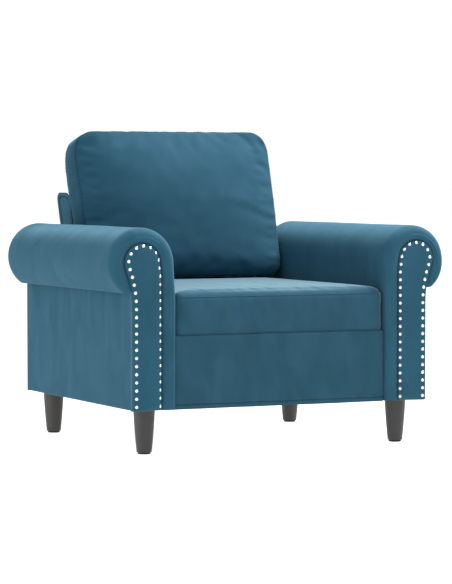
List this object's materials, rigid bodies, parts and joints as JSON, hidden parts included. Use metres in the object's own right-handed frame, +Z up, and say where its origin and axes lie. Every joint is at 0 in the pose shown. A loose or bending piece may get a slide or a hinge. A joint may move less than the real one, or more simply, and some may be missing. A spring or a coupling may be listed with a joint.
{
  "type": "armchair",
  "caption": "Upholstered armchair with rolled arms, nail-trimmed front panels, loose boxed seat and back cushions on a sprung base, and tapered round legs.",
  "frame": {"origin": "on the floor, under the middle of the chair", "axes": "+Z up, the front faces -Y, +X to the right as seen from the front"},
  "size_m": [0.9308, 0.7762, 0.806],
  "materials": {
    "velvet": "matte",
    "nail_heads": "polished",
    "dark_lacquer": "satin",
    "glide_rubber": "matte",
    "dust_cloth": "matte",
    "deck_cloth": "matte",
    "spring_steel": "satin",
    "zinc_steel": "satin",
    "foam": "matte",
    "fibre_fill": "matte",
    "zip_tape": "matte",
    "hardboard": "matte",
    "plywood": "matte",
    "pine": "matte"
  },
  "bodies": {
    "chair": {"arm_bolt_front_left": "zinc_steel", "arm_bolt_front_right": "zinc_steel", "arm_bolt_rear_left": "zinc_steel", "arm_bolt_rear_right": "zinc_steel", "arm_left_bottom_rail": "pine", "arm_left_cover": "velvet", "arm_left_facing": "velvet", "arm_left_foam": "foam", "arm_left_front_board": "plywood", "arm_left_nails": "nail_heads", "arm_left_outer_panel": "hardboard", "arm_left_rear_board": "plywood", "arm_left_top_rail": "pine", "arm_right_bottom_rail": "pine", "arm_right_cover": "velvet", "arm_right_facing": "velvet", "arm_right_foam": "foam", "arm_right_front_board": "plywood", "arm_right_nails": "nail_heads", "arm_right_outer_panel": "hardboard", "arm_right_rear_board": "plywood", "arm_right_top_rail": "pine", "back_bottom_rail": "pine", "back_cover": "velvet", "back_foam": "foam", "back_left_post": "pine", "back_right_post": "pine", "back_support_panel": "plywood", "back_top_rail": "pine", "base_front_rail": "pine", "base_left_rail": "pine", "base_rear_rail": "pine", "base_right_rail": "pine", "dust_cover": "dust_cloth", "front_border": "velvet", "leg_bolt_front_left": "zinc_steel", "leg_bolt_front_right": "zinc_steel", "leg_bolt_rear_left": "zinc_steel", "leg_bolt_rear_right": "zinc_steel", "leg_front_left": "dark_lacquer", "leg_front_right": "dark_lacquer", "leg_glide_front_left": "glide_rubber", "leg_glide_front_right": "glide_rubber", "leg_glide_rear_left": "glide_rubber", "leg_glide_rear_right": "glide_rubber", "leg_rear_left": "dark_lacquer", "leg_rear_right": "dark_lacquer", "seat_deck_pad": "deck_cloth", "seat_spring_1": "spring_steel", "seat_spring_2": "spring_steel", "seat_spring_3": "spring_steel", "seat_spring_4": "spring_steel"},
    "seat_cushion": {"seat_cushion_cover": "velvet", "seat_cushion_foam": "foam", "seat_cushion_zip": "zip_tape"},
    "back_cushion": {"back_cushion_cover": "velvet", "back_cushion_fill": "fibre_fill", "back_cushion_zip": "zip_tape"},
    "seat_zip_pull": {"seat_zip_slider": "zinc_steel"},
    "back_zip_pull": {"back_zip_slider": "zinc_steel"}
  },
  "joints": [
    {"name": "seat_cushion_slide", "type": "slide", "parent": "chair", "child": "seat_cushion", "axis": [0, -1, 0], "range_m": [0, 0.6]},
    {"name": "back_cushion_lift", "type": "slide", "parent": "chair", "child": "back_cushion", "axis": [0, 0, 1], "range_m": [0, 0.45]},
    {"name": "seat_zip_slide", "type": "slide", "parent": "seat_cushion", "child": "seat_zip_pull", "axis": [-1, 0, 0], "range_m": [0, 0.44]},
    {"name": "back_zip_slide", "type": "slide", "parent": "back_cushion", "child": "back_zip_pull", "axis": [-1, 0, 0], "range_m": [0, 0.44]}
  ]
}
